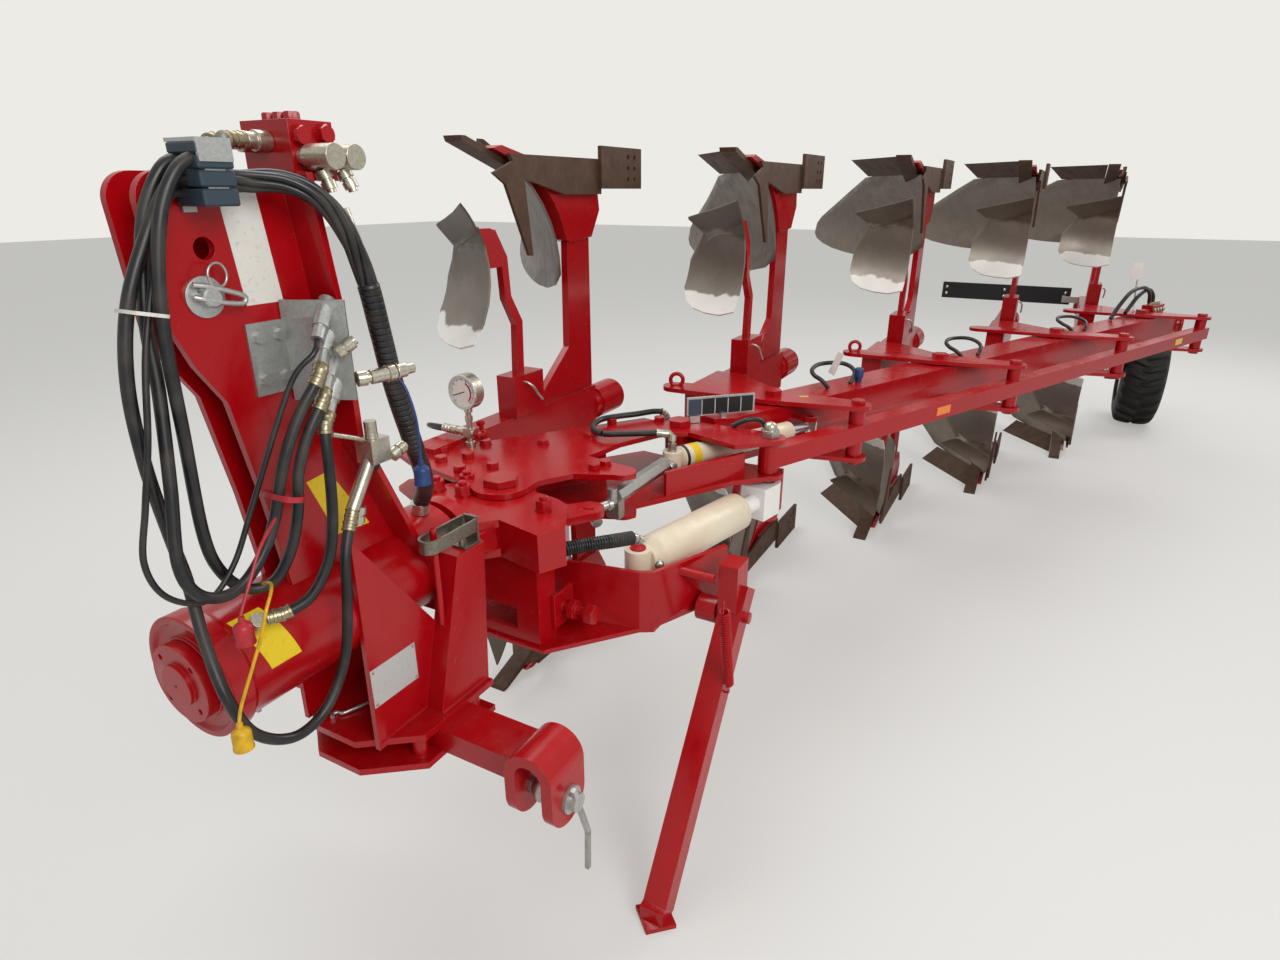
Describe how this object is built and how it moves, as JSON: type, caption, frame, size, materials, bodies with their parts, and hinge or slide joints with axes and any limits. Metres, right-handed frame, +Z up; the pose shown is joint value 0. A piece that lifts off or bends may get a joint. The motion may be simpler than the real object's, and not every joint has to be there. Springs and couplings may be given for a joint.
{
  "type": "mounted reversible moldboard plough",
  "caption": "Fully mounted reversible moldboard plough with paired bodies, variable furrow width, skimmers, turnover headstock, depth wheel and parking stand.",
  "frame": {"origin": "middle of the footprint, on the floor", "axes": "+Y to the rear, against the direction of travel; +X to the plough's left as it stands; +Z up"},
  "size_m": [2.9446, 6.3906, 1.764],
  "materials": {
    "red_paint": "gloss",
    "worn_steel": "satin",
    "rusty_steel": "matte",
    "cream_paint": "gloss",
    "grey_paint": "satin",
    "bright_steel": "satin",
    "zinc": "satin",
    "black_plastic": "matte",
    "tyre_rubber": "matte",
    "hose_rubber": "satin"
  },
  "bodies": {
    "headstock": {"headstock": "red_paint", "hub_housing": "red_paint", "cross_bar": "red_paint", "lower_pins": "bright_steel", "top_link_pin": "bright_steel", "brackets": "zinc", "turn_valve": "red_paint", "stop_valve": "bright_steel", "hub_fittings": "bright_steel", "hose_1": "hose_rubber", "hose_2": "hose_rubber", "hose_3": "hose_rubber", "hose_4": "hose_rubber", "hose_bundle": "hose_rubber", "cable": "hose_rubber"},
    "rotor": {"rotor": "red_paint", "turn_shaft": "red_paint", "rotor_box": "red_paint", "adjuster": "red_paint"},
    "stand": {"stand": "red_paint"},
    "swing_barrel": {"swing_barrel": "cream_paint"},
    "swing_rod": {"swing_rod": "bright_steel"},
    "swing_frame": {"swing_frame": "red_paint", "swing_pins": "bright_steel", "width_scale": "black_plastic", "gauge": "bright_steel", "feed_block": "bright_steel", "legs_1": "red_paint", "boards_1": "worn_steel", "shares_1": "rusty_steel", "skimmers_1": "red_paint"},
    "width_barrel": {"width_barrel": "cream_paint"},
    "width_rod": {"width_rod": "bright_steel"},
    "beam": {"beam": "red_paint", "rear_valve": "red_paint"},
    "unit_2": {"arms_2": "red_paint", "legs_2": "red_paint", "boards_2": "worn_steel", "shares_2": "rusty_steel", "skimmers_2": "red_paint"},
    "unit_3": {"arms_3": "red_paint", "legs_3": "red_paint", "boards_3": "worn_steel", "shares_3": "rusty_steel", "skimmers_3": "red_paint"},
    "unit_4": {"arms_4": "red_paint", "legs_4": "red_paint", "boards_4": "worn_steel", "shares_4": "rusty_steel", "skimmers_4": "red_paint"},
    "unit_5": {"arms_5": "red_paint", "legs_5": "red_paint", "boards_5": "worn_steel", "shares_5": "rusty_steel", "skimmers_5": "red_paint", "light_board": "black_plastic"},
    "steering_tube": {"steering_tube": "red_paint"},
    "wheel_arm": {"wheel_arm": "red_paint"},
    "wheel": {"wheel_rim": "grey_paint", "tyre": "tyre_rubber"}
  },
  "joints": [
    {"name": "turnover", "type": "hinge", "parent": "headstock", "child": "rotor", "pos_m": [-0.444, -2.575, 0.882], "axis": [0, -1, 0], "range_deg": [0, 180]},
    {"name": "line_up", "type": "hinge", "parent": "rotor", "child": "swing_frame", "pos_m": [-0.444, -2.335, 0.882], "axis": [0, 0, 1], "range_deg": [0, 16]},
    {"name": "line_up_barrel", "type": "hinge", "parent": "rotor", "child": "swing_barrel", "pos_m": [-0.114, -2.225, 0.755], "axis": [0, 0, 1], "range_deg": [0, 19.5]},
    {"name": "line_up_rod", "type": "slide", "parent": "swing_barrel", "child": "swing_rod", "axis": [0.2246, 0.9745, 0], "range_m": [0, 0.091]},
    {"name": "furrow_width", "type": "hinge", "parent": "swing_frame", "child": "beam", "pos_m": [-0.26651, -1.67514, 0.882], "axis": [0, 0, 1], "range_deg": [-5.7, 6.8]},
    {"name": "width_barrel_pivot", "type": "hinge", "parent": "swing_frame", "child": "width_barrel", "pos_m": [-0.216, -1.83, 0.89], "axis": [0, 0, 1], "range_deg": [-4.8, 5.6]},
    {"name": "width_rod_slide", "type": "slide", "parent": "width_barrel", "child": "width_rod", "axis": [0.4426, 0.8967, 0], "range_m": [-0.012, 0.014]},
    {"name": "unit_2_pivot", "type": "hinge", "parent": "beam", "child": "unit_2", "pos_m": [-0.098, -1.30136, 0.882], "axis": [0, 0, 1], "range_deg": [-6.8, 5.7]},
    {"name": "unit_3_pivot", "type": "hinge", "parent": "beam", "child": "unit_3", "pos_m": [0.313, -0.38973, 0.882], "axis": [0, 0, 1], "range_deg": [-6.8, 5.7]},
    {"name": "unit_4_pivot", "type": "hinge", "parent": "beam", "child": "unit_4", "pos_m": [0.724, 0.52191, 0.882], "axis": [0, 0, 1], "range_deg": [-6.8, 5.7]},
    {"name": "unit_5_pivot", "type": "hinge", "parent": "beam", "child": "unit_5", "pos_m": [1.135, 1.43354, 0.882], "axis": [0, 0, 1], "range_deg": [-6.8, 5.7]},
    {"name": "steering_pivot", "type": "hinge", "parent": "unit_2", "child": "steering_tube", "pos_m": [0.187, -1.27636, 0.882], "axis": [0, 0, 1], "range_deg": [-5.7, 6.8]},
    {"name": "stand_fold", "type": "hinge", "parent": "rotor", "child": "stand", "pos_m": [0.116, -2.145, 0.63], "axis": [1, 0, 0], "range_deg": [0, 122]},
    {"name": "wheel_swing", "type": "hinge", "parent": "beam", "child": "wheel_arm", "pos_m": [1.2994, 1.7982, 0.882], "axis": [1, 0, 0], "range_deg": [0, 54.7]},
    {"name": "wheel_spin", "type": "hinge", "parent": "wheel_arm", "child": "wheel", "pos_m": [1.3364, 2.8252, 0.35], "axis": [1, 0, 0], "continuous": true}
  ],
  "couplings": [
    {"joint": "line_up_barrel", "follows": "line_up", "ratio": 1.2183},
    {"joint": "line_up_rod", "follows": "line_up", "m_per_rad": 0.3185},
    {"joint": "width_barrel_pivot", "follows": "furrow_width", "ratio": 0.7986},
    {"joint": "width_rod_slide", "follows": "furrow_width", "m_per_rad": 0.1128},
    {"joint": "unit_2_pivot", "follows": "furrow_width", "ratio": -1},
    {"joint": "unit_3_pivot", "follows": "furrow_width", "ratio": -1},
    {"joint": "unit_4_pivot", "follows": "furrow_width", "ratio": -1},
    {"joint": "unit_5_pivot", "follows": "furrow_width", "ratio": -1},
    {"joint": "steering_pivot", "follows": "furrow_width", "ratio": 1}
  ]
}
